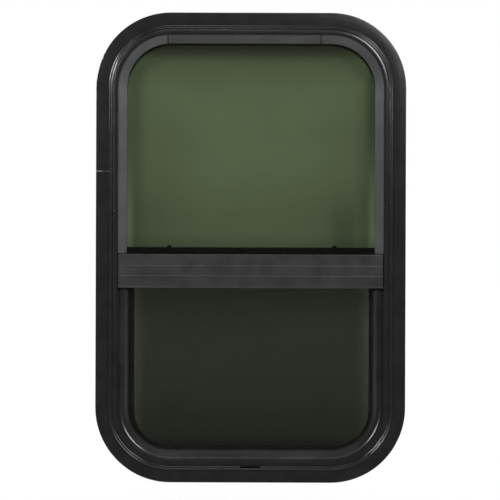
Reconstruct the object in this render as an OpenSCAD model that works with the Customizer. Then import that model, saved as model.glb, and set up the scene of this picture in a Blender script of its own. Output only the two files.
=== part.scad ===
// Radius-corner vertical sliding window for a caravan wall, seen from outside.
// Millimetres. Z is up, X is to the right as seen from outside, and -Y points
// out of the wall. The origin is the middle of the cut-out's bottom edge, on
// the back of the outer flange, where the frame seats on the wall.
// Every section is drawn with x as the distance inward from the flange's outer
// edge, and y as the height out of the wall's outer face.

/* [Wall opening] */
// Width of the cut-out in the wall
cutout_w = 355.6; // [340:0.1:600]
// Height of the cut-out in the wall
cutout_h = 558.8; // [520:0.1:800]
// Corner radius of the cut-out
cutout_r = 76.2; // [60:0.1:100]
// Thickness of the wall that is clamped
wall_t = 38.1; // [36:0.1:60]

/* [Main frame] */
// Width of the flange that laps over the wall
flange_lap = 19.05; // [17:0.05:26]
// Thickness of the flange and of the shoulder
flange_t = 1.8; // [1.5:0.1:2.4]
// Gap between the frame and the edge of the cut-out
wall_gap = 1.6; // [1:0.1:3]
// Thickness of the frame's web, which passes through the wall
web_t = 1.8; // [1.4:0.1:2.4]
// Height of the flange's rounded back, from its edge to the ridge
flange_rise = 0.3; // [0.1:0.05:0.5]
// Width of the shoulder from the web to its inner edge
shoulder_w = 5.55; // [5:0.05:8]
// Height of the shoulder's rounded back above the flange
shoulder_rise = 0.45; // [0.2:0.05:0.6]
// Width of the raised ridge along the flange
ridge_w = 4.6; // [3.4:0.1:5]
// Height of the ridge above the flange
ridge_rise = 1.1; // [0.7:0.1:1.4]
// Radius of the ridge's two rounded edges
ridge_edge = 0.9; // [0.5:0.1:1]
// Width of the grooves beside the ridge
groove_w = 1; // [0.6:0.1:1.2]
// Depth of the grooves beside the ridge
groove_d = 0.7; // [0.3:0.1:1]
// Width of the cut where the frame's two ends meet
butt_gap = 0.3; // [0.2:0.1:0.6]
// Height of the butt joint above the middle of the window
butt_up = 96.6; // [70:0.1:120]
// Length of the plate behind the butt joint
splice_l = 60; // [40:1:70]
// Length of the weep slot
weep_l = 26; // [14:1:60]
// Height of the weep slot
weep_h = 2; // [1.4:0.1:2.4]

/* [Tracks] */
// Width of the outer track, for the fixed glass
outer_track = 8; // [7.5:0.1:10]
// Width of the inner track, for the sliding sash
inner_track = 9; // [8.6:0.1:12]
// Width of the screen track
screen_track = 7.5; // [7:0.1:9]
// Thickness of the fins between the tracks
fin_t = 1.4; // [1:0.1:1.8]
// Height of the outer fin above the web
outer_fin = 5.2; // [4.6:0.1:5.4]
// Height of the inner fin above the web
inner_fin = 6; // [5:0.1:7]
// Width of the screw channel at the frame's inner end
boss_w = 7; // [6:0.1:8]
// Width of the groove in the screw channel
boss_slot = 3.2; // [2.6:0.1:3.6]

/* [Glass and beads] */
// Thickness of the glass panes
glass_t = 4; // [3:0.1:4.2]
// Thickness of the tape behind the fixed glass
tape_t = 1; // [0.8:0.1:1.5]
// Gap between the edge of the fixed glass and the web
glass_gap = 1.6; // [1:0.1:2]
// Visible width of the glazing beads
bead_w = 11; // [9:0.1:14]
// Radius of the bead's curved face
bead_face_r = 34; // [28:1:60]
// Distance of the right bead joint from the start of the top right corner
bead_joint_in = 12.6; // [4:0.1:40]
// Angle past the top left corner's start at which the left joint lies
bead_joint_turn = 4; // [2:1:20]
// Gap at the bead joints
bead_gap = 0.5; // [0.3:0.1:1]
// Radius of the bulb seal round the sash
bulb_r = 6.6; // [6:0.1:7]
// Wall of the bulb seal
bulb_wall = 1.4; // [1:0.1:2]

/* [Crossbar] */
// Distance of the crossbar's middle below the middle of the window
bar_down = 29.9; // [0:0.1:60]
// Height of the crossbar's face
bar_h = 42.8; // [38:0.1:50]
// How far the crossbar's face stands out of the wall's outer face
bar_out = 3.2; // [2.6:0.1:4]
// Wall of the crossbar
bar_wall = 1.7; // [1.4:0.1:2]
// Depth of the groove that takes the fixed glass
bar_bite = 10.9; // [8:0.1:12]
// Radius of the two fine ribs on the crossbar
bar_rib_r = 0.9; // [0.6:0.1:1]
// Distance between the two fine ribs
bar_rib_gap = 12.8; // [8:0.1:18]

/* [Sliding sash] */
// Thickness of the sash frame
sash_t = 6; // [5.6:0.1:6.2]
// Width of the sash frame's sides
sash_w = 20.6; // [18:0.1:24]
// Width of the sash frame's bottom
sash_foot = 19.2; // [16:0.1:22]
// Radius of the sash's glass opening at its lower corners
sash_corner = 46; // [20:1:50]
// Room for the sash on each side of its track
sash_play = 1.9; // [0.6:0.1:2.5]
// How far the sash stands to the right of the middle
sash_shift = 1.4; // [0:0.1:1.5]
// Depth of the glass in the sash frame
sash_bite = 8; // [5:0.1:10]
// Height of the sash's top rail
sash_rail_h = 18; // [14:0.1:22]
// How far the top rail stands above the crossbar
sash_over = 8.9; // [6:0.1:12]
// Distance of each latch from the sash's side
latch_in = 65; // [30:1:90]
// Width of a latch
latch_w = 26; // [18:1:34]

/* [Screen] */
// Width of the screen's frame
screen_w = 11; // [9:0.1:13]
// Diameter of the cord that holds the screen mesh
spline_d = 3.4; // [2.8:0.1:3.8]
// Thickness of the screen mesh
mesh_t = 0.4; // [0.3:0.1:0.6]

/* [Trim ring] */
// Thickness of the trim ring inside the caravan
ring_t = 1.8; // [1.5:0.1:2.4]
// How far the trim ring's outer edge is inside the flange's edge
ring_inset = 1.5; // [0.5:0.1:4]
// Distance from the frame's web to the trim ring's opening
ring_lap = 12.1; // [10:0.1:22]
// How far the frame's inner end stops short of the wall's inner face
ring_reach = 4.1; // [3:0.1:6]
// Diameter of the screw holes
screw_d = 4.2; // [3.6:0.1:4.6]
// Number of screws along each tall side
screws_tall = 4; // [2:1:6]
// Number of screws along the top and along the bottom
screws_wide = 3; // [1:1:4]

/* [Hidden] */
$fn = 96;
// Running clearance between pieces that slide or snap together
fit = 0.3;
// Overrun of a cut past the face that it opens
past = 1;

// Outline of the flange
frame_w = cutout_w + 2 * flange_lap;
frame_h = cutout_h + 2 * flange_lap;
frame_r = cutout_r + flange_lap;
side_half = frame_h / 2 - frame_r;
top_half = frame_w / 2 - frame_r;

// Places across the section, inward from the flange's outer edge
web_out = flange_lap + wall_gap;
web_in = web_out + web_t;
shoulder_in = web_in + shoulder_w;
bead_in = shoulder_in + bead_w;
glass_edge = web_in + glass_gap;
ridge_at = flange_lap - fit;
ridge_foot = ridge_w / 2 + groove_w;
ring_in = web_in + ring_lap;
bulb_at = shoulder_in + fit + bulb_r;

// Places through the section, out of the wall's outer face
outer_fin_front = -outer_track;
glass_back = outer_fin_front + tape_t;
glass_front = glass_back + glass_t;
sash_track_front = outer_fin_front - fin_t;
sash_track_back = sash_track_front - inner_track;
screen_front = sash_track_back - fin_t;
boss_front = screen_front - screen_track;
frame_end = ring_reach - wall_t;

// The sash in its track
channel_t = (inner_track - sash_t) / 2 - fit;
channel_leg = inner_fin + channel_t;
sash_mid = (sash_track_front + sash_track_back) / 2;
sash_front = sash_mid + sash_t / 2;
sash_back = sash_mid - sash_t / 2;
bulb_mid = sash_front + fit / 2 + bulb_r;
sash_edge = web_in + channel_t + sash_play;
sash_low = web_in + channel_t + fit;
sash_half = frame_w / 2 - sash_edge;
sash_r = frame_r - sash_edge + sash_play;
latch_x = sash_half - latch_in;

// Heights from the middle of the window
mid_z = cutout_h / 2;
bar_mid = -bar_down;
bar_top = bar_mid + bar_h / 2;
bar_bottom = bar_mid - bar_h / 2;
bar_back = sash_track_front;
bar_play = 1.2;
bar_half = frame_w / 2 - shoulder_in - bar_play;
sash_top = bar_top + sash_over;
rail_bottom = sash_top - sash_rail_h;
screen_top = rail_bottom - 2 * fit;

// The screen in its track
screen_edge = web_in + 4 * fit;
screen_in = screen_edge + screen_w;
screen_t = screen_track - 2 * fit;
screen_back = screen_front - fit - screen_t;
spline_at = screen_in - spline_d;
spline_mid = screen_back + spline_d * 0.4;

// Stands a drawing of the window's plane upright, with its y up and its z out
module in_wall() {
    translate([0, 0, mid_z]) rotate([90, 0, 0]) children();
}

// Runs a section along one side, 0 right, 90 top, 180 left and 270 bottom
module along(turn, start, end) {
    reach = (turn % 180 == 0 ? frame_w : frame_h) / 2;
    rotate([0, 0, turn]) translate([reach, end, 0]) rotate([90, 0, 0])
        linear_extrude(end - start) mirror([1, 0]) children();
}

// Turns a section round a corner, 0 top right, then on to the left
module round_corner(turn, sweep = 90) {
    right = turn == 0 || turn == 270 ? 1 : -1;
    up = turn < 180 ? 1 : -1;
    translate([right * top_half, up * side_half, 0]) rotate([0, 0, turn])
        rotate_extrude(angle = sweep) translate([frame_r, 0]) mirror([1, 0]) children();
}

// Runs a section all the way round
module whole_ring() {
    for (turn = [0:90:270]) {
        half = turn % 180 == 0 ? side_half : top_half;
        along(turn, -half, half) children();
        round_corner(turn) children();
    }
}

// Runs a section over the top and round both top corners
module top_bow() {
    along(90, -top_half, top_half) children();
    round_corner(0) children();
    round_corner(90) children();
}

// Runs a section under the bottom and round both bottom corners
module bottom_bow() {
    along(270, -top_half, top_half) children();
    round_corner(180) children();
    round_corner(270) children();
}

// Runs a section over the top, down to a height on both sides
module upper_arch(low) {
    along(0, low, side_half) children();
    along(180, -side_half, -low) children();
    top_bow() children();
}

// Runs a section under the bottom, up to a height on both sides
module lower_arch(high) {
    along(0, -side_half, high) children();
    along(180, -high, side_half) children();
    bottom_bow() children();
}

// Runs a section across the window, its x up and its y out
module across(half) {
    rotate([90, 0, 90]) linear_extrude(2 * half, center = true) children();
}

// Rectangle between two corners
module span(x0, y0, x1, y1) {
    translate([x0, y0]) square([x1 - x0, y1 - y0]);
}

// Rectangle round the middle with rounded corners
module rounded_rect(w, h, r) {
    square([w - 2 * r, h], center = true);
    square([w, h - 2 * r], center = true);
    for (x = [-1, 1], y = [-1, 1])
        translate([x * (w / 2 - r), y * (h / 2 - r)]) circle(r);
}

// Outline of the window at a distance inward from the flange's edge
module window_outline(inset) {
    rounded_rect(frame_w - 2 * inset, frame_h - 2 * inset, frame_r - inset);
}

// Section of a low rounded back between two points of a level face
module low_arc(start, end, base, rise) {
    half = (end - start) / 2;
    r = (half * half + rise * rise) / (2 * rise);
    intersection() {
        span(start, base - rise, end, base + rise + past);
        translate([start + half, base + rise - r]) circle(r, $fn = 240);
    }
}

// Section of the flange with its ridge, grooves and shoulder
module flange_section() {
    difference() {
        union() {
            translate([flange_t / 2, flange_t / 2]) circle(d = flange_t);
            span(flange_t / 2, 0, shoulder_in, flange_t);
        }
        for (side = [-1, 1])
            translate([ridge_at + side * (ridge_w + groove_w) / 2, flange_t])
                square([groove_w, 2 * groove_d], center = true);
    }
    low_arc(flange_t / 2, ridge_at - ridge_foot, flange_t, flange_rise);
    low_arc(ridge_at + ridge_foot, shoulder_in, flange_t, shoulder_rise);
    top = flange_t + ridge_rise;
    half = ridge_w / 2;
    span(ridge_at - half, flange_t / 2, ridge_at + half, top - ridge_edge);
    span(ridge_at - half + ridge_edge, flange_t / 2, ridge_at + half - ridge_edge, top - ridge_edge / 3);
    for (side = [-1, 1])
        translate([ridge_at + side * (half - ridge_edge), top - ridge_edge]) circle(ridge_edge);
}

// Section of the main frame
module frame_section() {
    flange_section();
    span(web_out, frame_end, web_in, flange_t / 2);
    span(web_out, outer_fin_front - fin_t, web_in + outer_fin, outer_fin_front);
    span(web_out, screen_front, web_in + inner_fin, screen_front + fin_t);
    difference() {
        span(web_out, frame_end, web_in + boss_w, boss_front);
        span(web_in + (boss_w - boss_slot) / 2, frame_end - past,
             web_in + (boss_w + boss_slot) / 2, boss_front - fin_t);
    }
}

module main_frame() {
    color([0.13, 0.13, 0.13]) in_wall() difference() {
        whole_ring() frame_section();
        translate([-frame_w / 2 - past, butt_up - butt_gap / 2, frame_end - past])
            cube([frame_w / 4, butt_gap, wall_t + 2 * past + flange_t + ridge_rise]);
        weep_slot();
    }
}

// Slot that lets water out of the bottom track
module weep_slot() {
    slot_at = (flange_lap + web_out) / 2;
    translate([0, slot_at - frame_h / 2, -past]) linear_extrude(flange_t + ridge_rise + 2 * past) {
        square([weep_l - weep_h, weep_h], center = true);
        for (x = [-1, 1]) translate([x * (weep_l - weep_h) / 2, 0]) circle(d = weep_h);
    }
    translate([-weep_l / 2, slot_at - frame_h / 2, -2 * weep_h])
        cube([weep_l, web_in + past - slot_at, weep_h]);
}

// Plate inside the frame that joins its two ends
module frame_splice() {
    color([0.6, 0.61, 0.62]) in_wall() along(180, -butt_up - splice_l / 2, -butt_up + splice_l / 2)
        span(web_in, boss_front + fit, web_in + fin_t, screen_front - fit);
}

module upper_glass() {
    color([0.33, 0.4, 0.3, 0.6]) in_wall() translate([0, 0, glass_back])
        linear_extrude(glass_t) intersection() {
            window_outline(glass_edge);
            translate([-frame_w / 2, bar_top - bar_bite + fit * 2]) square([frame_w, frame_h]);
        }
}

module upper_glass_tape() {
    color([0.08, 0.08, 0.08]) in_wall() upper_arch(bar_top)
        span(glass_edge - fit, outer_fin_front, web_in + outer_fin, glass_back);
}

// Section of a glazing bead, with a leg behind the shoulder
module bead_section() {
    leg = 3;
    crest_in = 1;
    crest_h = 4;
    span(glass_edge, glass_front, shoulder_in + leg, 0);
    intersection() {
        span(shoulder_in, glass_front, bead_in, flange_t);
        translate([shoulder_in + crest_in, glass_front + crest_h - bead_face_r])
            circle(bead_face_r, $fn = 240);
    }
}

module bead_left() {
    color([0.32, 0.32, 0.32]) in_wall() mirror([1, 0, 0]) {
        along(0, bar_top + fit, side_half) bead_section();
        round_corner(0, 90 - bead_joint_turn) bead_section();
    }
}

module bead_top() {
    shift = bead_gap / (frame_r - bead_in) * 180 / PI;
    color([0.28, 0.28, 0.28]) in_wall() {
        along(90, bead_joint_in + bead_gap - top_half, top_half) bead_section();
        round_corner(90, bead_joint_turn - shift) bead_section();
    }
}

module bead_right() {
    color([0.32, 0.32, 0.32]) in_wall() {
        along(0, bar_top + fit, side_half) bead_section();
        round_corner(0) bead_section();
        along(90, -top_half, bead_joint_in - top_half) bead_section();
    }
}

// Section of the crossbar: x up from its middle, y out of the wall
module crossbar_section() {
    edge_r = 1.2;
    pocket = glass_t + 4 * fit;
    difference() {
        union() {
            span(-bar_h / 2, bar_back, bar_h / 2, bar_out - edge_r);
            span(-bar_h / 2 + edge_r, bar_back, bar_h / 2 - edge_r, bar_out);
            for (side = [-1, 1])
                translate([side * (bar_h / 2 - edge_r), bar_out - edge_r]) circle(edge_r);
            for (side = [-1, 1])
                translate([side * bar_rib_gap / 2, bar_out - bar_rib_r / 3]) circle(bar_rib_r);
        }
        span(bar_h / 2 - bar_bite, glass_back - 2 * fit, bar_h / 2 + past,
             glass_back - 2 * fit + pocket);
        bar_chamber(0);
    }
}

// Hollow of the crossbar, made smaller all round by a clearance
module bar_chamber(less) {
    span(-bar_h / 2 + bar_wall + less, bar_back + bar_wall + less,
         bar_h / 2 - bar_bite - bar_wall - less, bar_out - bar_wall - less);
}

module crossbar() {
    color([0.22, 0.22, 0.215]) in_wall() translate([0, bar_mid, 0])
        across(bar_half) crossbar_section();
}

// Plug in the crossbar's end with a tongue in the outer track
module crossbar_key() {
    plug_l = 18;
    translate([bar_half - plug_l, bar_mid, 0]) rotate([90, 0, 90])
        linear_extrude(plug_l) bar_chamber(fit);
    translate([bar_half, bar_bottom + bar_wall + fit, outer_fin_front + fit])
        cube([frame_w / 2 - web_in - fit - bar_half, bar_h - bar_bite - 2 * bar_wall - 2 * fit,
              outer_track - 2 * fit]);
}

module crossbar_key_left() {
    color([0.09, 0.09, 0.09]) in_wall() mirror([1, 0, 0]) crossbar_key();
}

module crossbar_key_right() {
    color([0.09, 0.09, 0.09]) in_wall() crossbar_key();
}

// Soft channel between the crossbar and the fixed glass
module crossbar_gasket() {
    color([0.06, 0.06, 0.06]) in_wall() translate([0, bar_mid, 0]) across(bar_half - fit)
        difference() {
            span(bar_h / 2 - bar_bite, glass_back - 2 * fit, bar_h / 2 - fit, glass_front + 2 * fit);
            span(bar_h / 2 - bar_bite + 2 * fit, glass_back, bar_h / 2, glass_front);
        }
}

// Brush seal between the crossbar and the sash's top rail
module meeting_seal() {
    pile_w = 5;
    under_top = 1;
    color([0.1, 0.1, 0.1]) in_wall() translate([0, bar_top - under_top - pile_w, 0])
        across(bar_half) span(0, sash_front + fit, pile_w, bar_back);
}

// Section of the bulb seal with its foot in the outer track
module bulb_section() {
    difference() {
        union() {
            translate([bulb_at, bulb_mid]) circle(bulb_r);
            span(web_in, outer_fin_front, bulb_at - bulb_r / 2, 0);
        }
        translate([bulb_at, bulb_mid]) circle(bulb_r - bulb_wall);
    }
}

// The bulb's two ends under the crossbar are closed and taper
module bulb_seal() {
    end_l = 3;
    end_r = bulb_r - 2 * bulb_wall;
    top = bar_bottom - end_l - fit;
    color([0.05, 0.05, 0.05]) in_wall() {
        lower_arch(top) bulb_section();
        for (side = [-1, 1])
            translate([side * (frame_w / 2 - bulb_at), top, bulb_mid])
                rotate([-90, 0, 0]) cylinder(end_l, bulb_r, end_r);
    }
}

// Outline with a square top and two rounded lower corners, low above the flange's edge
module cup_outline(half, low, r, top) {
    foot = low - frame_h / 2;
    translate([-half, foot + r]) square([2 * half, top - foot - r]);
    translate([r - half, foot]) square([2 * (half - r), top - foot]);
    for (x = [-1, 1]) translate([x * (half - r), foot + r]) circle(r);
}

// Outline of the sash's opening, or of its glass when that reaches into the frame
module sash_opening(bite, top) {
    cup_outline(sash_half - sash_w + bite, sash_low + sash_foot - bite, sash_corner + bite, top);
}

// Space that the sash's glass takes in the sash frame
module sash_groove() {
    thick = glass_t + fit / 2;
    translate([0, 0, sash_mid - thick / 2]) linear_extrude(thick)
        sash_opening(sash_bite + fit, rail_bottom + sash_bite + fit);
}

module sash_frame() {
    color([0.08, 0.08, 0.08]) in_wall() translate([sash_shift, 0, 0]) difference() {
        translate([0, 0, sash_back]) linear_extrude(sash_t) difference() {
            cup_outline(sash_half, sash_low, sash_r, rail_bottom);
            sash_opening(0, rail_bottom + past);
        }
        sash_groove();
    }
}

module sash_top_rail() {
    lip = 1.2;
    color([0.1, 0.1, 0.1]) in_wall() translate([sash_shift, 0, 0]) difference() {
        across(sash_half) {
            span(rail_bottom, sash_back, sash_top, sash_front - lip);
            span(rail_bottom, sash_back, sash_top - 2 * lip, sash_front);
        }
        sash_groove();
    }
}

module sash_glass() {
    color([0.2, 0.23, 0.2, 0.6]) in_wall() translate([sash_shift, 0, sash_mid - glass_t / 2])
        linear_extrude(glass_t) sash_opening(sash_bite, rail_bottom + sash_bite);
}

// Thumb latch on the inside of the sash's top rail, its pin just above the rail
module sash_latch() {
    plate_t = 1.6;
    plate_r = 2.5;
    plate_low = rail_bottom + 2;
    plate_high = sash_top - 1;
    grip_t = 3;
    grip_w = 12;
    notch_r = 0.7;
    notch_gap = 2.6;
    notch_low = plate_low + 3.5;
    pin_r = 2.8;
    pin_t = 2 * plate_t;
    translate([0, (plate_low + plate_high) / 2, sash_back - plate_t]) linear_extrude(plate_t)
        rounded_rect(latch_w, plate_high - plate_low, plate_r);
    difference() {
        translate([-grip_w / 2, plate_low + 1, sash_back - plate_t - grip_t])
            cube([grip_w, plate_high - plate_low - 2, grip_t]);
        for (i = [0:3])
            translate([0, notch_low + i * notch_gap, sash_back - plate_t - grip_t])
                rotate([0, 90, 0]) cylinder(grip_w + 2 * past, r = notch_r, center = true);
    }
    translate([0, sash_top, sash_back - pin_t]) cylinder(pin_t, r = pin_r);
    translate([-pin_r, plate_high - pin_r, sash_back - pin_t])
        cube([2 * pin_r, sash_top - plate_high + pin_r, pin_t]);
}

module sash_latch_left() {
    color([0.12, 0.12, 0.12]) in_wall() translate([sash_shift - latch_x, 0, 0]) sash_latch();
}

module sash_latch_right() {
    color([0.12, 0.12, 0.12]) in_wall() translate([sash_shift + latch_x, 0, 0]) sash_latch();
}

// Section of the lining in the sash's track
module channel_section() {
    span(web_in, sash_track_back, web_in + channel_t, sash_track_front);
    span(web_in, sash_track_front - channel_t, web_in + channel_leg, sash_track_front);
    span(web_in, sash_track_back, web_in + channel_leg, sash_track_back + channel_t);
}

module run_channel_left() {
    color([0.35, 0.36, 0.35]) in_wall() along(180, -side_half, side_half) channel_section();
}

module run_channel_right() {
    color([0.35, 0.36, 0.35]) in_wall() along(0, -side_half, side_half) channel_section();
}

module run_channel_top() {
    color([0.35, 0.36, 0.35]) in_wall() top_bow() channel_section();
}

module run_channel_bottom() {
    color([0.35, 0.36, 0.35]) in_wall() bottom_bow() channel_section();
}

// Outline of the screen at a distance inward from the flange's edge
module screen_outline(inset, top) {
    intersection() {
        window_outline(inset);
        translate([-frame_w / 2, -frame_h / 2]) square([frame_w, frame_h / 2 + top]);
    }
}

// Cord of the screen, with its groove when it is drawn thicker
module spline_run(d) {
    top = screen_top - spline_at + screen_edge;
    half = frame_w / 2 - spline_at;
    translate([0, 0, spline_mid]) {
        lower_arch(top) translate([spline_at, 0]) circle(d = d);
        rotate([0, 90, 0]) translate([0, top, 0]) cylinder(2 * half, d = d, center = true);
        for (x = [-1, 1]) translate([x * half, top, 0]) sphere(d = d);
    }
}

module screen_frame() {
    color([0.1, 0.1, 0.1]) in_wall() difference() {
        translate([0, 0, screen_back]) linear_extrude(screen_t) difference() {
            screen_outline(screen_edge, screen_top);
            screen_outline(screen_in, screen_top - screen_w);
        }
        spline_run(spline_d + fit);
    }
}

module screen_spline() {
    color([0.05, 0.05, 0.05]) in_wall() spline_run(spline_d);
}

module screen_mesh() {
    color([0.15, 0.15, 0.15, 0.5]) in_wall() translate([0, 0, screen_back])
        linear_extrude(mesh_t) screen_outline(screen_in, screen_top - screen_w);
}

// Finger tab on the inside of the screen's top bar
module screen_tab() {
    tab_w = 18;
    tab_t = 1;
    tab_out = 7;
    low = screen_top - spline_d / 2 - tab_t;
    translate([-tab_w / 2, low, screen_back - tab_t]) cube([tab_w, 3 * tab_t, tab_t]);
    translate([-tab_w / 2, low, screen_back - tab_out]) cube([tab_w, tab_t, tab_out]);
}

module screen_tab_left() {
    color([0.12, 0.12, 0.12]) in_wall() translate([-latch_x, 0, 0]) screen_tab();
}

module screen_tab_right() {
    color([0.12, 0.12, 0.12]) in_wall() translate([latch_x, 0, 0]) screen_tab();
}

// Section of the trim ring, with two ribs that bear on the frame's screw channel
module trim_section() {
    face = -wall_t;
    rib_t = 1.1;
    lip = 6;
    translate([ring_inset + ring_t / 2, face - ring_t / 2]) circle(d = ring_t);
    span(ring_inset + ring_t / 2, face - ring_t, ring_in, face);
    span(web_in, face - ring_t / 2, web_in + rib_t, frame_end);
    span(web_in + boss_w - rib_t, face - ring_t / 2, web_in + boss_w, frame_end);
    span(ring_in - rib_t, face - ring_t / 2, ring_in, face + lip);
}

// Puts a piece at each screw of the trim ring
module at_screws() {
    at = web_in + boss_w / 2;
    corner = (frame_r - at) * sqrt(0.5);
    for (side = [-1, 1]) {
        for (i = [1:screws_tall])
            translate([side * (frame_w / 2 - at), side_half * (2 * i - 1 - screws_tall) / screws_tall, 0])
                children();
        for (i = [1:screws_wide])
            translate([top_half * (2 * i - 1 - screws_wide) / screws_wide, side * (frame_h / 2 - at), 0])
                children();
        for (up = [-1, 1])
            translate([side * (top_half + corner), up * (side_half + corner), 0]) children();
    }
}

// The screw holes are countersunk from inside the caravan, for heads twice the hole's width
module trim_ring() {
    sink_h = ring_t - fit;
    sink_r = screw_d;
    color([0.75, 0.75, 0.73]) in_wall() difference() {
        whole_ring() trim_section();
        at_screws() {
            translate([0, 0, -wall_t - ring_t - past]) cylinder(ring_t + 2 * past, d = screw_d);
            translate([0, 0, -wall_t - ring_t]) cylinder(sink_h, sink_r, screw_d / 2 - past / 5);
        }
    }
}

main_frame();
frame_splice();
upper_glass();
upper_glass_tape();
bead_left();
bead_top();
bead_right();
crossbar();
crossbar_key_left();
crossbar_key_right();
crossbar_gasket();
meeting_seal();
bulb_seal();
sash_frame();
sash_top_rail();
sash_glass();
sash_latch_left();
sash_latch_right();
run_channel_left();
run_channel_right();
run_channel_top();
run_channel_bottom();
screen_frame();
screen_mesh();
screen_spline();
screen_tab_left();
screen_tab_right();
trim_ring();
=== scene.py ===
import math

import bmesh
import bpy
from mathutils import Matrix, Vector


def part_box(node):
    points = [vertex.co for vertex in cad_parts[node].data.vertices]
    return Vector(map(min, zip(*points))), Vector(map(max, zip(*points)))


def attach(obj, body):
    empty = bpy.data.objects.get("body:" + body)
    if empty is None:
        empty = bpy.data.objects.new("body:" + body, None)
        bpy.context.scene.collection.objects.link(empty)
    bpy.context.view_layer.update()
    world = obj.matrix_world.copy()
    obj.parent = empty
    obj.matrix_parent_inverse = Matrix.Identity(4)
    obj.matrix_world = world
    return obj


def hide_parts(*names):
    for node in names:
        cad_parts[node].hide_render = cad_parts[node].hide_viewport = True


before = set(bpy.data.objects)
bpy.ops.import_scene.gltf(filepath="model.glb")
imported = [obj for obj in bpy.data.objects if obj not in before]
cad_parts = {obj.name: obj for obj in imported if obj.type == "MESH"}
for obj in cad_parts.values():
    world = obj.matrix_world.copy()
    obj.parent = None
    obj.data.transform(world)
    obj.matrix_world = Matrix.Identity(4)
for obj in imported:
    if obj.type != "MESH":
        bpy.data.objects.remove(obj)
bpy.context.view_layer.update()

# Sizes, in metres. X is to the right seen from outside, Z up, and -Y out of the wall
MM = 0.001
FRAME_LOW, FRAME_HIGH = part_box("main_frame")
HALF_W = (FRAME_HIGH.x - FRAME_LOW.x) / 2
HALF_H = (FRAME_HIGH.z - FRAME_LOW.z) / 2
MID_Z = (FRAME_HIGH.z + FRAME_LOW.z) / 2
CORNER_R = 95.25 * MM
MIDDLE = Vector((0, 0, MID_Z))

# Distances inward from the flange's outer edge
RIDGE_IN = 18.75 * MM
SCREW_IN = 25.95 * MM
SCREEN_IN = 34.65 * MM
BEAD_IN = 39 * MM
LOWER_GLASS_IN = 43.5 * MM

# Half the width of the lower pane that shows inside the bulb seal, and the gap between the crossbar's ribs
LOWER_HALF_W = 150.5 * MM
RIBS_APART = 12.8 * MM


# Camera, floor, world and lamps

CAMERA_AWAY = 1.25
FIELD_W = 0.6355
AIM_RIGHT = -0.9 * MM
AIM_UP = -3.0 * MM
CAMERA_ROLL = -0.19
SENSOR_W = 36


def make_camera():
    """A camera square on to the window, as far off as the inner reveals' width shows."""
    data = bpy.data.cameras.new("camera")
    data.sensor_width = SENSOR_W
    data.lens = data.sensor_width * CAMERA_AWAY / FIELD_W
    camera = bpy.data.objects.new("camera", data)
    camera.location = (AIM_RIGHT, -CAMERA_AWAY, MID_Z + AIM_UP)
    camera.rotation_euler = (math.radians(90), math.radians(CAMERA_ROLL), 0)
    bpy.context.scene.collection.objects.link(camera)
    bpy.context.scene.camera = camera


LAMP_AWAY = 1.5


def add_lamp(name, turn, tilt, wide, long, watts, key=False):
    """A soft lamp: turn is its angle round the window from the right, tilt its angle off the camera's line.

    It is wide round the window and long away from the camera's line. Only a key lamp lights colours, and the
    others show in gloss alone, so that the colours are lit at a plain level.
    """
    turn = math.radians(turn)
    tilt = math.radians(tilt)
    data = bpy.data.lights.new(name, "AREA")
    data.shape = "RECTANGLE"
    data.size = wide
    data.size_y = long
    data.energy = watts
    lamp = bpy.data.objects.new(name, data)
    outward = Vector((math.cos(turn), 0, math.sin(turn)))
    side = outward * math.sin(tilt) - Vector((0, math.cos(tilt), 0))
    round_it = Vector((0, 1, 0)).cross(outward)
    turned = Matrix((round_it, side.cross(round_it), side)).transposed().to_4x4()
    lamp.matrix_world = Matrix.Translation(MIDDLE + side * LAMP_AWAY) @ turned
    lamp.visible_camera = False
    lamp.visible_diffuse = key
    lamp.visible_transmission = False
    bpy.context.scene.collection.objects.link(lamp)
    return lamp


def keep_off(lamps, nodes):
    """Keeps some lamps' light off some nodes, so that no lamp is mirrored in them, and off the floor."""
    unlit = bpy.data.collections.new("unlit")
    unlit.objects.link(bpy.data.objects["floor"])
    for node in nodes:
        unlit.objects.link(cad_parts[node])
    for member in unlit.collection_objects:
        member.light_linking.link_state = "EXCLUDE"
    for lamp in lamps:
        lamp.light_linking.receiver_collection = unlit


def make_lamps():
    """Lamps that show in the gloss where the photograph has its highlights.

    Those of the upper corners are kept off the bulb seal as well, whose inner lip would mirror them.
    """
    high = [
        add_lamp("lamp_upper_right", 50, 43, 0.4, 0.4, 4.6, key=True),
        add_lamp("rim_upper_right", 50, 74, 0.3, 0.5, 5),
        add_lamp("lamp_upper_left", 149, 66, 0.42, 0.45, 32),
    ]
    others = [
        add_lamp("lamp_top", 95, 62, 0.5, 0.4, 3.5),
        add_lamp("lamp_lower_left", 226, 77, 0.5, 0.65, 11),
        add_lamp("lamp_lower_right", 320, 77, 0.35, 0.65, 8),
        add_lamp("lamp_behind", 80, 140, 1.0, 1.0, 5, key=True),
    ]
    keep_off(high, ("upper_glass", "sash_glass", "bulb_seal"))
    keep_off(others, ("upper_glass", "sash_glass"))


def ray_kinds(tree):
    """1 for a ray from the camera or through glass, and 1 for a mirrored ray."""
    path = tree.nodes.new("ShaderNodeLightPath")
    camera, through, mirrored = (Term(tree, path.outputs[f"Is {kind} Ray"])
                                 for kind in ("Camera", "Transmission", "Glossy"))
    return camera.largest(through), mirrored


# The world's light on colours, its front's brightness in gloss, and the Y where that ends and white begins
WORLD_DIFFUSE = 0.78
WORLD_FRONT = 0.09
DARK_TO = -0.3
WHITE_FROM = 0.5


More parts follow.
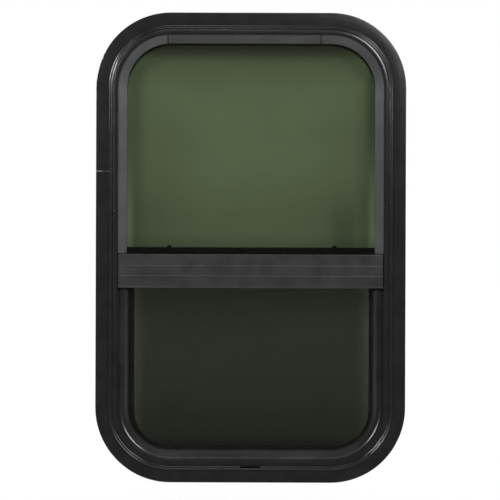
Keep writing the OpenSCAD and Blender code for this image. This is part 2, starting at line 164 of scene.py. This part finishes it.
def make_world():
    """A white studio that is darker on the camera's side, where the room is."""
    world = bpy.data.worlds.new("studio")
    bpy.context.scene.world = world
    world.use_nodes = True
    tree = world.node_tree
    tree.nodes.clear()
    look = tree.nodes.new("ShaderNodeTexCoord")
    split = tree.nodes.new("ShaderNodeSeparateXYZ")
    tree.links.new(look.outputs["Generated"], split.inputs[0])
    studio = Term(tree, split.outputs["Y"]).ramp(DARK_TO, WHITE_FROM, WORLD_FRONT, 1)
    seen, mirrored = ray_kinds(tree)
    level = mirrored * studio + (1 - mirrored) * WORLD_DIFFUSE
    level = seen + (1 - seen) * level
    light = tree.nodes.new("ShaderNodeBackground")
    light.inputs["Color"].default_value = (1, 1, 1, 1)
    tree.links.new(level.socket, light.inputs["Strength"])
    out = tree.nodes.new("ShaderNodeOutputWorld")
    tree.links.new(light.outputs[0], out.inputs["Surface"])


FLOOR_DOWN = 0.14
FLOOR_SIZE = 12
FLOOR_FRONT = 0.06
FLOOR_COLOUR = (0.86, 0.86, 0.855, 1)
# What the floor glows to the camera and in glass, and what it adds to that in gloss
FLOOR_GLOW = 0.36
FLOOR_SHINE = 0.85


def make_floor():
    """A plain pale floor under the window, white to the camera and with the window's shadow on it."""
    middle = (0, FLOOR_SIZE / 2 - FLOOR_FRONT, FRAME_LOW.z - FLOOR_DOWN)
    bpy.ops.mesh.primitive_plane_add(size=FLOOR_SIZE, location=middle)
    floor = bpy.context.object
    floor.name = "floor"
    material, tree, shader = new_material("floor_paper")
    shader.inputs["Base Color"].default_value = FLOOR_COLOUR
    shader.inputs["Roughness"].default_value = 0.9
    shader.inputs["Specular IOR Level"].default_value = 0.1
    shader.inputs["Emission Color"].default_value = (1, 1, 1, 1)
    seen, mirrored = ray_kinds(tree)
    glow = seen * FLOOR_GLOW + mirrored * FLOOR_SHINE
    tree.links.new(glow.socket, shader.inputs["Emission Strength"])
    floor.data.materials.append(material)


# Building blocks for materials


class Term:
    """A number in a node tree, so that a sum of nodes is written as a sum."""

    def __init__(self, tree, socket):
        self.tree = tree
        self.socket = socket

    def math(self, operation, *others):
        node = self.tree.nodes.new("ShaderNodeMath")
        node.operation = operation
        for slot, value in zip(node.inputs, (self, *others)):
            if isinstance(value, Term):
                self.tree.links.new(value.socket, slot)
            else:
                slot.default_value = value
        return Term(self.tree, node.outputs[0])

    def __add__(self, other):
        return self.math("ADD", other)

    __radd__ = __add__

    def __sub__(self, other):
        return self.math("SUBTRACT", other)

    def __rsub__(self, other):
        return self.math("MULTIPLY", -1) + other

    def __mul__(self, other):
        return self.math("MULTIPLY", other)

    def __abs__(self):
        return self.math("ABSOLUTE")

    def largest(self, other):
        return self.math("MAXIMUM", other)

    def smallest(self, other):
        return self.math("MINIMUM", other)

    def power(self, other):
        return self.math("POWER", other)

    def ramp(self, start, end, low=0, high=1):
        """Goes smoothly from low to high as the number goes from start to end."""
        node = self.tree.nodes.new("ShaderNodeMapRange")
        node.interpolation_type = "SMOOTHSTEP"
        for name, value in zip(("From Min", "From Max", "To Min", "To Max"), (start, end, low, high)):
            node.inputs[name].default_value = value
        self.tree.links.new(self.socket, node.inputs["Value"])
        return Term(self.tree, node.outputs[0])


def new_material(name):
    material = bpy.data.materials.new(name)
    material.use_nodes = True
    tree = material.node_tree
    return material, tree, tree.nodes["Principled BSDF"]


def place(tree):
    """The three coordinates of a point of the object, in metres."""
    coordinates = tree.nodes.new("ShaderNodeTexCoord")
    split = tree.nodes.new("ShaderNodeSeparateXYZ")
    tree.links.new(coordinates.outputs["Object"], split.inputs[0])
    return [Term(tree, split.outputs[axis]) for axis in "XYZ"]


def edge_distance(tree):
    """How far a point lies inside the flange's outline, a rounded rectangle."""
    x, _, z = place(tree)
    across = abs(x) - (HALF_W - CORNER_R)
    along = abs(z - MID_Z) - (HALF_H - CORNER_R)
    outside = (across.largest(0).power(2) + along.largest(0).power(2)).power(0.5)
    return CORNER_R - outside - across.largest(along).smallest(0)


def noise(tree, scale, detail=2, stretch=(1, 1, 1)):
    """Noise with about scale cells a metre, from 0 to 1, longer along an axis with a small stretch."""
    coordinates = tree.nodes.new("ShaderNodeTexCoord")
    mapping = tree.nodes.new("ShaderNodeMapping")
    mapping.inputs["Scale"].default_value = stretch
    texture = tree.nodes.new("ShaderNodeTexNoise")
    texture.inputs["Scale"].default_value = scale
    texture.inputs["Detail"].default_value = detail
    tree.links.new(coordinates.outputs["Object"], mapping.inputs["Vector"])
    tree.links.new(mapping.outputs[0], texture.inputs["Vector"])
    return Term(tree, texture.outputs[0])


def lines(tree, position, per_metre, detail=2):
    """Noise that changes only with a distance, so that it draws lines at even distance from an edge."""
    texture = tree.nodes.new("ShaderNodeTexNoise")
    texture.noise_dimensions = "1D"
    texture.inputs["Detail"].default_value = detail
    texture.inputs["Scale"].default_value = 1
    tree.links.new((position * per_metre).socket, texture.inputs["W"])
    return Term(tree, texture.outputs[0])


# Dust: cells a metre, the share of them that hold a speck, and a speck's size as a share of its cell
SPECK_CELLS = 260
SPECK_SHARE = 0.012
SPECK_SIZE = 0.22


def specks(tree):
    """1 in small dots, one in each cell that holds a speck."""
    coordinates = tree.nodes.new("ShaderNodeTexCoord")
    cells = tree.nodes.new("ShaderNodeTexVoronoi")
    cells.inputs["Scale"].default_value = SPECK_CELLS
    tree.links.new(coordinates.outputs["Object"], cells.inputs["Vector"])
    split = tree.nodes.new("ShaderNodeSeparateColor")
    tree.links.new(cells.outputs["Color"], split.inputs[0])
    kept = Term(tree, split.outputs[0]).math("LESS_THAN", SPECK_SHARE)
    return Term(tree, cells.outputs["Distance"]).ramp(SPECK_SIZE, SPECK_SIZE / 2) * kept


def blend_colours(tree, share, low, high):
    """A colour between low and high, by a share from 0 to 1."""
    mix = tree.nodes.new("ShaderNodeMix")
    mix.data_type = "RGBA"
    mix.clamp_factor = False
    tree.links.new(share.socket, mix.inputs["Factor"])
    for name, colour in (("A", low), ("B", high)):
        socket = next(s for s in mix.inputs if s.name == name and s.type == "RGBA")
        if isinstance(colour, tuple):
            socket.default_value = (*colour, 1)
        else:
            tree.links.new(colour, socket)
    return next(s for s in mix.outputs if s.type == "RGBA")


def add_bump(tree, shader, height, edge=0.0, normal=None):
    """Bends the normals by a height in metres, over a normal from the tree or edges rounded to a radius."""
    bump = tree.nodes.new("ShaderNodeBump")
    bump.inputs["Strength"].default_value = 1
    bump.inputs["Distance"].default_value = 1
    tree.links.new(height.socket, bump.inputs["Height"])
    if normal:
        tree.links.new(normal(tree), bump.inputs["Normal"])
    elif edge:
        bevel = tree.nodes.new("ShaderNodeBevel")
        bevel.samples = 4
        bevel.inputs["Radius"].default_value = edge
        tree.links.new(bevel.outputs[0], bump.inputs["Normal"])
    tree.links.new(bump.outputs[0], shader.inputs["Normal"])


def finish(name, dark, light, rough, height, mottle=40, edge=0.25 * MM, dust=0.0, shade=None,
           matt=None, normal=None, **sockets):
    """A finish whose colour and gloss drift over the surface.

    From the tree, height makes the relief, shade what the colour is multiplied by (painted light and shade),
    matt what is added to the roughness, and normal the normal under the relief. mottle is how many cells a
    metre the drift has, edge the radius that edges are rounded to, and dust how light the specks are.
    """
    material, tree, shader = new_material(name)
    drift = noise(tree, mottle, 4)
    colour = blend_colours(tree, drift.ramp(0.3, 0.7), dark, light)
    if dust:
        colour = blend_colours(tree, specks(tree), colour, (dust, dust, dust * 0.97))
    if shade:
        colour = blend_colours(tree, shade(tree), (0, 0, 0), colour)
    tree.links.new(colour, shader.inputs["Base Color"])
    fine = noise(tree, mottle * 9, 3)
    gloss = drift.ramp(0.25, 0.75, rough[0], rough[1]) + (fine - 0.5) * (rough[1] - rough[0])
    if matt:
        gloss = gloss + matt(tree)
    tree.links.new(gloss.socket, shader.inputs["Roughness"])
    for socket, value in sockets.items():
        shader.inputs[socket.replace("_", " ")].default_value = value
    add_bump(tree, shader, height(tree), edge, normal)
    return material


# Materials of the frame

# The section of its outer face
FLANGE_T = 1.8 * MM
RIDGE_W = 4.6 * MM
RIDGE_RISE = 1.1 * MM
RIDGE_EDGE_R = 0.9 * MM
RIDGE_TOP_DROP = 0.3 * MM
SHOULDER_START = RIDGE_IN + 3.3 * MM
SHOULDER_END = 28.0 * MM
SHOULDER_RISE = 0.45 * MM


def turned_normal(tree):
    """The frame's normal, worked out from its section on the ridge and the shoulder.

    The solid's facets would break the thin lines of light there into dashes.
    """
    x, y, z = place(tree)
    across = (abs(x) - (HALF_W - CORNER_R)).largest(0)
    along = (abs(z - MID_Z) - (HALF_H - CORNER_R)).largest(0)
    reach = (across.power(2) + along.power(2)).power(0.5).largest(0.01 * MM)
    inside = reach * -1 + CORNER_R
    tilt = 0
    top_reach = math.sqrt(RIDGE_EDGE_R ** 2 - (RIDGE_EDGE_R - RIDGE_TOP_DROP) ** 2)
    for side in (-1, 1):
        middle = RIDGE_IN + side * (RIDGE_W / 2 - RIDGE_EDGE_R)
        outer = (inside - middle) * side
        on_edge = outer.math("GREATER_THAN", -top_reach) * outer.math("LESS_THAN", RIDGE_EDGE_R)
        tilt = (inside * -1 + middle) * (1 / RIDGE_EDGE_R) * on_edge + tilt
    on_ridge = abs(inside - RIDGE_IN).math("LESS_THAN", RIDGE_W / 2)
    on_ridge = on_ridge * y.math("LESS_THAN", -(FLANGE_T + RIDGE_RISE - RIDGE_EDGE_R))
    half = (SHOULDER_END - SHOULDER_START) / 2
    shoulder_r = (half ** 2 + SHOULDER_RISE ** 2) / (2 * SHOULDER_RISE)
    on_shoulder = abs(inside - (SHOULDER_START + half)).math("LESS_THAN", half)
    on_shoulder = on_shoulder * y.math("LESS_THAN", -FLANGE_T)
    tilt = tilt * on_ridge + (inside * -1 + (SHOULDER_START + half)) * (1 / shoulder_r) * on_shoulder
    forward = (1 - tilt.power(2)).largest(0).power(0.5) * -1
    worked_out = tree.nodes.new("ShaderNodeCombineXYZ")
    outward = tilt.math("DIVIDE", reach)
    for axis, value in (("X", outward * across * x.math("SIGN")), ("Y", forward),
                        ("Z", outward * along * (z - MID_Z).math("SIGN"))):
        tree.links.new(value.socket, worked_out.inputs[axis])
    found = tree.nodes.new("ShaderNodeNewGeometry")
    mix = tree.nodes.new("ShaderNodeMix")
    mix.data_type = "VECTOR"
    tree.links.new(on_ridge.largest(on_shoulder).socket, mix.inputs["Factor"])
    for name, socket in (("A", found.outputs["Normal"]), ("B", worked_out.outputs[0])):
        tree.links.new(socket, next(s for s in mix.inputs if s.name == name and s.type == "VECTOR"))
    return next(s for s in mix.outputs if s.type == "VECTOR")


# Two dimples in the top flange, each at its X and Z
DIMPLES = ((-35 * MM, 566.8 * MM), (27.3 * MM, 568.7 * MM))
DIMPLE_R = 1.6 * MM
DIMPLE_DEEP = 0.12 * MM


def powder_relief(tree):
    """Orange peel of a baked paint over the extrusion's die lines, with dimples in the top flange."""
    peel = noise(tree, 300, 2) * (0.004 * MM)
    die = lines(tree, edge_distance(tree), 1400, 1) * (0.0012 * MM)
    x, _, z = place(tree)
    relief = peel + die
    for right, up in DIMPLES:
        away = ((x - right).power(2) + (z - up).power(2)).power(0.5)
        relief = relief - away.ramp(DIMPLE_R, DIMPLE_R / 8) * DIMPLE_DEEP
    return relief


def black_paint():
    """Baked black paint, with the worked-out normals under its relief."""
    return finish("black_paint", (0.0066, 0.0066, 0.0063), (0.0114, 0.0114, 0.0109), (0.235, 0.25),
                  powder_relief, dust=0.16, normal=turned_normal, IOR=1.52, Specular_IOR_Level=0.9)


def screen_paint():
    return finish("screen_paint", (0.012, 0.012, 0.012), (0.02, 0.02, 0.02), (0.35, 0.5),
                  lambda tree: noise(tree, 900, 3) * (0.012 * MM), IOR=1.5)


def bar_relief(tree):
    """Die lines along the crossbar."""
    _, _, z = place(tree)
    return lines(tree, z, 1600) * (0.014 * MM) + noise(tree, 900, 3) * (0.006 * MM)


def bar_painted_highlights(tree):
    """Painted highlights: the ribs are lighter towards the right, and so is the lower edge towards the left.
    """
    x, _, z = place(tree)
    low, high = (corner.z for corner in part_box("crossbar"))
    ribs = abs(abs(z - (low + high) / 2) - RIBS_APART / 2).ramp(1.0 * MM, 0.4 * MM)
    edge = abs(z - (low + 1.1 * MM)).ramp(1.0 * MM, 0.4 * MM)
    return 1 + ribs * x.ramp(-HALF_W, HALF_W, 0.05, 0.75) + edge * x.ramp(HALF_W, -HALF_W, 0.2, 0.8)


def bar_plastic():
    """Grey, the crossbar's own shade."""
    # The colour is multiplied by painted highlights on the ribs and the lower edge.
    return finish("bar_plastic", (0.0258, 0.0272, 0.0268), (0.0336, 0.0353, 0.0348), (0.34, 0.46),
                  bar_relief, dust=0.12, shade=bar_painted_highlights, IOR=1.5)


def bead_relief(tree):
    """Lines along the bead, all round the window."""
    return lines(tree, edge_distance(tree), 1500) * (0.012 * MM) + noise(tree, 260, 3) * (0.02 * MM)


def joint_painted_shade(tree):
    """Painted shade in the joints between the beads, and where the side beads meet the crossbar, for the
    gaps' shadow.
    """
    x, _, z = place(tree)
    left, right = (corner.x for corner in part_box("bead_top"))
    joint = abs(x - left).smallest(abs(x - right)).ramp(1.0 * MM, 0.5 * MM)
    foot = (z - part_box("crossbar")[1].z).ramp(1.7 * MM, 0.9 * MM)
    return 1 - joint.largest(foot) * 0.85


def side_bead_painted_light_and_shade(tree):
    """Painted light and shade: the side beads are lightest below their corners, darker in them, and the
    right one is a little darker.
    """
    x, _, z = place(tree)
    corner = z.ramp(FRAME_HIGH.z - 105 * MM, FRAME_HIGH.z - 70 * MM, 1.0, 0.68)
    below = z.ramp(FRAME_HIGH.z - 155 * MM, FRAME_HIGH.z - 115 * MM, 0.92, 1.14)
    return joint_painted_shade(tree) * corner * below * x.ramp(-50 * MM, 50 * MM, 0.95, 0.80)


def bead_plastic():
    """Grey, lighter than the crossbar."""
    # The colour carries the side beads' painted light and shade, and painted shade in their joints.
    return finish("bead_plastic", (0.0755, 0.0770, 0.0765), (0.0925, 0.0940, 0.0935), (0.5, 0.65),
                  bead_relief, mottle=30, dust=0.2, shade=side_bead_painted_light_and_shade, IOR=1.5, Specular_IOR_Level=0.3)


def top_bead_plastic_painted_shade():
    """The top bead is made darker than the side beads as painted shade for its downward face, with painted
    shade in its joints.
    """
    return finish("top_bead_plastic_painted_shade", (0.0402, 0.0414, 0.0408), (0.0518, 0.0530, 0.0524), (0.5, 0.65),
                  bead_relief, mottle=30, dust=0.18, shade=joint_painted_shade, IOR=1.5, Specular_IOR_Level=0.3)


# Materials of rubber, brush and metal


def rubber_relief(tree):
    """Lines left by the die along the rubber, with a slight waviness."""
    return lines(tree, edge_distance(tree), 1500, 1) * (0.0015 * MM) + noise(tree, 90, 2) * (0.03 * MM)


def bulb_crest(tree):
    """1 on the bulb's crest and 0 on its sides."""
    inside = edge_distance(tree)
    return inside.ramp(29.4 * MM, 31.0 * MM) * inside.ramp(37.0 * MM, 35.0 * MM)


def bulb_painted_light_and_shade(tree):
    """Painted shade makes the bulb darker on its inner side and down its right, and painted light makes it
    lighter at its foot.
    """
    x, _, z = place(tree)
    inner = edge_distance(tree).ramp(34.5 * MM, 38 * MM, 1.0, 0.6)
    foot = z.ramp(FRAME_LOW.z + 70 * MM, FRAME_LOW.z + 40 * MM, 1.0, 2.0)
    return inner * foot * x.ramp(60 * MM, 150 * MM, 1.0, 0.5)


def bulb_rubber():
    """Polished on the crest, but matt on the sides that wipe the frame and the sash."""
    # The colour carries the bulb's painted light and shade.
    return finish("bulb_rubber", (0.0125, 0.0129, 0.0129), (0.0213, 0.0219, 0.0219), (0.24, 0.29),
                  rubber_relief, mottle=26, edge=0, dust=0.12, shade=bulb_painted_light_and_shade,
                  matt=lambda tree: (1 - bulb_crest(tree)) * 0.35, IOR=1.52, Specular_IOR_Level=0.75)


def dull_rubber():
    return finish("dull_rubber", (0.008, 0.008, 0.008), (0.014, 0.014, 0.014), (0.6, 0.8),
                  lambda tree: noise(tree, 1500, 3) * (0.02 * MM), edge=0)


# Very dark foam: painted shade, standing in for the shade seen through the weep slot.
def baffle_foam_painted_shade():
    return finish("baffle_foam_painted_shade", (0.003, 0.003, 0.003), (0.008, 0.008, 0.0078), (0.85, 1.0),
                  lambda tree: noise(tree, 2200, 4) * (0.2 * MM), mottle=700, edge=0)


def pile_relief(tree):
    """Bristles that stand across the seal."""
    return noise(tree, 2500, 4, stretch=(1, 0.12, 1)) * (0.35 * MM)


def brush_pile():
    return finish("brush_pile", (0.006, 0.006, 0.006), (0.03, 0.03, 0.03), (0.85, 1.0),
                  pile_relief, mottle=900, edge=0, Sheen_Weight=0.4)


def flock():
    return finish("flock", (0.05, 0.052, 0.05), (0.11, 0.113, 0.11), (0.85, 1.0),
                  lambda tree: noise(tree, 3000, 4) * (0.15 * MM), mottle=500, edge=0, Sheen_Weight=0.5)


def black_plastic():
    return finish("black_plastic", (0.004, 0.004, 0.004), (0.008, 0.008, 0.008), (0.38, 0.5),
                  lambda tree: noise(tree, 1800, 3) * (0.015 * MM), mottle=90)


def rail_plastic():
    return finish("rail_plastic", (0.068, 0.070, 0.066), (0.110, 0.112, 0.107), (0.45, 0.6),
                  lambda tree: noise(tree, 1500, 3) * (0.015 * MM), mottle=60)


def bare_aluminium():
    return finish("bare_aluminium", (0.5, 0.51, 0.52), (0.64, 0.65, 0.66), (0.28, 0.42),
                  lambda tree: noise(tree, 900, 3, stretch=(1, 1, 0.05)) * (0.01 * MM),
                  mottle=60, Metallic=1.0)


def screw_steel():
    return finish("screw_steel", (0.42, 0.42, 0.41), (0.6, 0.6, 0.58), (0.22, 0.4),
                  lambda tree: noise(tree, 2400, 2) * (0.006 * MM), mottle=300, Metallic=1.0)


def screen_wire():
    return finish("screen_wire", (0.045, 0.046, 0.047), (0.075, 0.076, 0.078), (0.4, 0.55),
                  lambda tree: noise(tree, 4000, 2) * (0.004 * MM), mottle=200, edge=0, Metallic=0.6)


def trim_relief(tree):
    return noise(tree, 520, 3) * (0.016 * MM) + lines(tree, edge_distance(tree), 1200) * (0.008 * MM)


def trim_paint():
    return finish("trim_paint", (0.66, 0.655, 0.63), (0.74, 0.735, 0.71), (0.36, 0.5),
                  trim_relief, mottle=22, IOR=1.5)


# Glass


def glass(name, tint, shade):
    """Tinted glass. shade, from the tree, multiplies the tint place by place: painted light and shade, not
    the glass's own tint.
    """
    material, tree, shader = new_material(name)
    smear = noise(tree, 14, 4).ramp(0.2, 0.8, 0.96, 1.04)
    colour = blend_colours(tree, shade(tree) * smear, (0, 0, 0), tint)
    tree.links.new(colour, shader.inputs["Base Color"])
    shader.inputs["Transmission Weight"].default_value = 1
    shader.inputs["IOR"].default_value = 1.5
    gloss = noise(tree, 35, 5).ramp(0.45, 0.8, 0.0, 0.03)
    tree.links.new(gloss.socket, shader.inputs["Roughness"])
    add_bump(tree, shader, noise(tree, 9, 2) * (0.02 * MM))
    return material


def upper_glass_painted_light_and_shade(tree):
    """Painted shade deepens the tint towards the beads, most of all under the top one, and above the
    crossbar.

    Painted light makes a pale strip along the side beads' feet and lightens the glass in front of the sash's
    top rail, and painted shade lays a darker patch at the lower right.
    """
    x, _, z = place(tree)
    inside = edge_distance(tree) - BEAD_IN
    to_left = x + (HALF_W - BEAD_IN)
    to_right = x * -1 + (HALF_W - BEAD_IN)
    below_top = z * -1 + (FRAME_HIGH.z - BEAD_IN)
    above_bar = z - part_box("crossbar")[1].z
    above_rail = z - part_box("sash_top_rail")[1].z
    sides = inside.ramp(8 * MM, 32 * MM, 0.63, 0.84) * inside.ramp(30 * MM, 120 * MM, 1.0, 1.19)
    top = below_top.ramp(3 * MM, 24 * MM, 0.31, 0.95) * below_top.ramp(10 * MM, 60 * MM, 0.85, 1.15)
    top = top * below_top.ramp(70 * MM, 120 * MM, 1.0, 0.92)
    foot = above_bar.ramp(0, 30 * MM, 0.47, 0.745) * above_bar.ramp(30 * MM, 130 * MM, 1.0, 1.34)
    strip = inside.ramp(12 * MM, 2 * MM) * above_bar.ramp(20 * MM, 130 * MM, 0.9, 0.05) + 1
    high = above_bar.ramp(60 * MM, 190 * MM)
    right = 1 - to_right.ramp(16 * MM, 2 * MM) * high * 0.5
    left = 1 - to_left.ramp(26 * MM, 8 * MM) * high * 0.16
    patch = to_right.ramp(20 * MM, 32 * MM) * to_right.ramp(64 * MM, 44 * MM)
    patch = 1 - patch * above_bar.ramp(80 * MM, 30 * MM) * 0.22
    over_rail = above_rail.ramp(0.5 * MM, -0.5 * MM, 1.0, 1.22)
    return sides * top * foot * strip * right * left * patch * over_rail


def lower_glass_painted_light_and_shade(tree):
    """Painted shade deepens the tint under the crossbar and at the foot, and painted light lightens it down
    both sides.
    """
    x, _, z = place(tree)
    glass_low, glass_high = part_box("sash_glass")
    mid_x = (glass_low.x + glass_high.x) / 2
    to_side = LOWER_HALF_W - abs(x - mid_x)
    under_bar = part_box("crossbar")[0].z - z
    above_foot = z - (FRAME_LOW.z + LOWER_GLASS_IN)
    sides = to_side.ramp(18 * MM, -4 * MM, 1.0, 1.75)
    top = under_bar.ramp(-15 * MM, 60 * MM, 0.55, 1.0)
    foot = above_foot.ramp(-8 * MM, 20 * MM, 0.43, 1.0) * above_foot.ramp(0, 110 * MM, 0.6, 1.0)
    return sides * top * foot


# Small pieces that the solids leave out


def add_piece(name, mesh_builder, material):
    """A new piece that rides on the window, from a bmesh."""
    mesh = bpy.data.meshes.new(name)
    mesh_builder.to_mesh(mesh)
    mesh_builder.free()
    mesh.materials.append(material)
    piece = bpy.data.objects.new(name, mesh)
    bpy.context.scene.collection.objects.link(piece)
    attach(piece, "root")
    return piece


# The insect mesh's wires
WIRE_R = 0.13 * MM
WIRE_GAP = 1.4 * MM
WIRE_SIDES = 6


def add_wire(mesh, start, end):
    """A straight wire between two points."""
    start, end = Vector(start), Vector(end)
    turn = (end - start).to_track_quat("Z", "Y").to_matrix().to_4x4()
    stand = Matrix.Translation((start + end) / 2) @ turn
    bmesh.ops.create_cone(mesh, cap_ends=True, segments=WIRE_SIDES, radius1=WIRE_R, radius2=WIRE_R,
                          depth=(end - start).length, matrix=stand)


def make_screen():
    """Insect mesh of upright and level wires, cut to the screen's opening with its two round corners."""
    low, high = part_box("screen_mesh")
    half = (high.x - low.x) / 2
    radius = CORNER_R - SCREEN_IN
    layer = (high.y - low.y) / 2 - WIRE_R
    mid_y = (high.y + low.y) / 2
    mesh = bmesh.new()
    count = int(half / WIRE_GAP)
    for i in range(-count, count + 1):
        x = i * WIRE_GAP
        past = max(abs(x) - (half - radius), 0)
        foot = low.z + radius - math.sqrt(radius ** 2 - past ** 2)
        add_wire(mesh, (x, mid_y - layer, foot), (x, mid_y - layer, high.z))
    for i in range(1, int((high.z - low.z) / WIRE_GAP) + 1):
        z = high.z - (i - 0.5) * WIRE_GAP
        past = max(low.z + radius - z, 0)
        reach = half - radius + math.sqrt(radius ** 2 - past ** 2)
        add_wire(mesh, (-reach, mid_y + layer, z), (reach, mid_y + layer, z))
    screen = add_piece("screen_wires", mesh, screen_wire())
    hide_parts("screen_mesh")


# The trim ring's screws, the cross in their heads, and how many stand on each side
SCREW_HEAD_R = 4.0 * MM
SCREW_SHANK_R = 1.55 * MM
SCREW_HEAD_T = 1.45 * MM
SCREW_LENGTH = 9 * MM
SCREW_SUNK = 0.05 * MM
SCREW_TURN = 37
CROSS_LONG = 2.3 * MM
CROSS_WIDE = 0.55 * MM
CROSS_DEEP = 1.0 * MM
CROSS_FLOOR_LONG = 0.6 * CROSS_LONG
CROSS_FLOOR_WIDE = 0.8 * CROSS_WIDE
SCREWS_TALL = 4
SCREWS_WIDE = 3
ROUND = 28


def circle_points(radius, depth):
    step = 2 * math.pi / ROUND
    return [Vector((radius * math.cos(i * step), depth, radius * math.sin(i * step))) for i in range(ROUND)]


def cross_points(long, wide, depth):
    """The twelve corners of a cross."""
    arm = [(long, -wide), (long, wide), (wide, wide)]
    points = []
    for quarter in range(4):
        turn = Matrix.Rotation(math.radians(-90 * quarter), 3, "Y")
        points += [turn @ Vector((a, depth, b)) for a, b in arm]
    return points


def add_screw(mesh, at, turn):
    """A countersunk screw with a cross recess. Its head faces +Y and its shank runs into the frame."""
    stand = Matrix.Translation(at) @ Matrix.Rotation(turn, 4, "Y")

    def ring(points):
        return [mesh.verts.new(stand @ p) for p in points]

    def skin(first, second):
        for i in range(len(first)):
            j = (i + 1) % len(first)
            mesh.faces.new((first[i], first[j], second[j], second[i]))

    rim = ring(circle_points(SCREW_HEAD_R, 0))
    neck = ring(circle_points(SCREW_SHANK_R, -SCREW_HEAD_T))
    tip = ring(circle_points(SCREW_SHANK_R, -SCREW_LENGTH))
    skin(rim, neck)
    skin(neck, tip)
    mesh.faces.new(tip)
    mouth = ring(cross_points(CROSS_LONG, CROSS_WIDE, 0))
    floor = ring(cross_points(CROSS_FLOOR_LONG, CROSS_FLOOR_WIDE, -CROSS_DEEP))
    skin(mouth, floor)
    mesh.faces.new(floor)
    loops = [mesh.edges.get((r[i], r[(i + 1) % len(r)])) or mesh.edges.new((r[i], r[(i + 1) % len(r)]))
             for r in (rim, mouth) for i in range(len(r))]
    bmesh.ops.triangle_fill(mesh, edges=loops, use_beauty=True, use_dissolve=False)


def screw_places():
    """The middle of each screw of the trim ring, as far in from the flange's edge as its holes."""
    straight_w = HALF_W - CORNER_R
    straight_h = HALF_H - CORNER_R
    corner = (CORNER_R - SCREW_IN) * math.sqrt(0.5)
    for side in (-1, 1):
        for i in range(SCREWS_TALL):
            yield side * (HALF_W - SCREW_IN), straight_h * (2 * i + 1 - SCREWS_TALL) / SCREWS_TALL
        for i in range(SCREWS_WIDE):
            yield straight_w * (2 * i + 1 - SCREWS_WIDE) / SCREWS_WIDE, side * (HALF_H - SCREW_IN)
        for up in (-1, 1):
            yield side * (straight_w + corner), up * (straight_h + corner)


# The foam's place, size and rounding, and the cells and waves of its cut face
BAFFLE_IN = 19.05 * MM
BAFFLE_L = 31 * MM
BAFFLE_H = 3.1 * MM
BAFFLE_T = 1.9 * MM
BAFFLE_ROUND = 0.7 * MM
BAFFLE_CELL = 1.6 * MM
BAFFLE_WAVE = 0.12 * MM


# The foam behind the weep slot is partly a baffle such windows have and partly painted shade, kept very dark
# for the slot.
def make_weep_baffle():
    """Open foam behind the weep slot, which lets water out and keeps light and insects out."""
    mesh = bmesh.new()
    stand = Matrix.Translation((0, BAFFLE_T / 2, FRAME_LOW.z + BAFFLE_IN)) @ Matrix.Diagonal(
        (BAFFLE_L, BAFFLE_T, BAFFLE_H, 1))
    bmesh.ops.create_cube(mesh, size=1, matrix=stand)
    bmesh.ops.bevel(mesh, geom=list(mesh.edges), offset=BAFFLE_ROUND, offset_type="OFFSET", segments=3,
                    profile=0.5, affect="EDGES")
    long_edges = [e for e in mesh.edges if e.calc_length() > BAFFLE_L / 2]
    bmesh.ops.subdivide_edges(mesh, edges=long_edges, cuts=int(BAFFLE_L / BAFFLE_CELL), use_grid_fill=True)
    for corner in mesh.verts:
        along = corner.co.x / BAFFLE_CELL
        corner.co.z += math.sin(along * 2.1) * math.sin(along * 0.83 + 1) * BAFFLE_WAVE
    bmesh.ops.recalc_face_normals(mesh, faces=mesh.faces)
    add_piece("weep_baffle", mesh, baffle_foam_painted_shade())


def make_screws():
    """The screws that clamp the trim ring, each left at its own angle."""
    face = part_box("trim_ring")[1].y - SCREW_SUNK
    mesh = bmesh.new()
    for number, (x, z) in enumerate(screw_places()):
        add_screw(mesh, Vector((x, face, MID_Z + z)), math.radians(SCREW_TURN * number))
    bmesh.ops.recalc_face_normals(mesh, faces=mesh.faces)
    add_piece("trim_screws", mesh, screw_steel())


# Dressing of the solids

FINISHES = {
    black_paint: ("main_frame",),
    screen_paint: ("screen_frame",),
    bar_plastic: ("crossbar",),
    bead_plastic: ("bead_left", "bead_right"),
    top_bead_plastic_painted_shade: ("bead_top",),
    bulb_rubber: ("bulb_seal",),
    dull_rubber: ("upper_glass_tape", "crossbar_gasket", "screen_spline"),
    brush_pile: ("meeting_seal",),
    flock: ("run_channel_left", "run_channel_right", "run_channel_top", "run_channel_bottom"),
    rail_plastic: ("sash_top_rail",),
    black_plastic: ("sash_frame", "sash_latch_left", "sash_latch_right",
                    "screen_tab_left", "screen_tab_right", "crossbar_key_left", "crossbar_key_right"),
    bare_aluminium: ("frame_splice",),
    trim_paint: ("trim_ring",),
}
UPPER_TINT = (0.0885, 0.1155, 0.061)
LOWER_TINT = (0.0176, 0.0202, 0.0140)


def dress(node, material):
    """Gives a solid its finish."""
    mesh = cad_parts[node].data
    mesh.materials.clear()
    mesh.materials.append(material)


def dress_solids():
    """Gives each solid the finish that its surface has."""
    for make, nodes in FINISHES.items():
        material = make()
        for node in nodes:
            dress(node, material)
    dress("upper_glass", glass("green_glass", UPPER_TINT, upper_glass_painted_light_and_shade))
    dress("sash_glass", glass("dark_glass", LOWER_TINT, lower_glass_painted_light_and_shade))


bpy.context.scene.view_settings.view_transform = "Standard"
make_camera()
make_world()
make_floor()
make_lamps()
dress_solids()
make_screen()
make_screws()
make_weep_baffle()
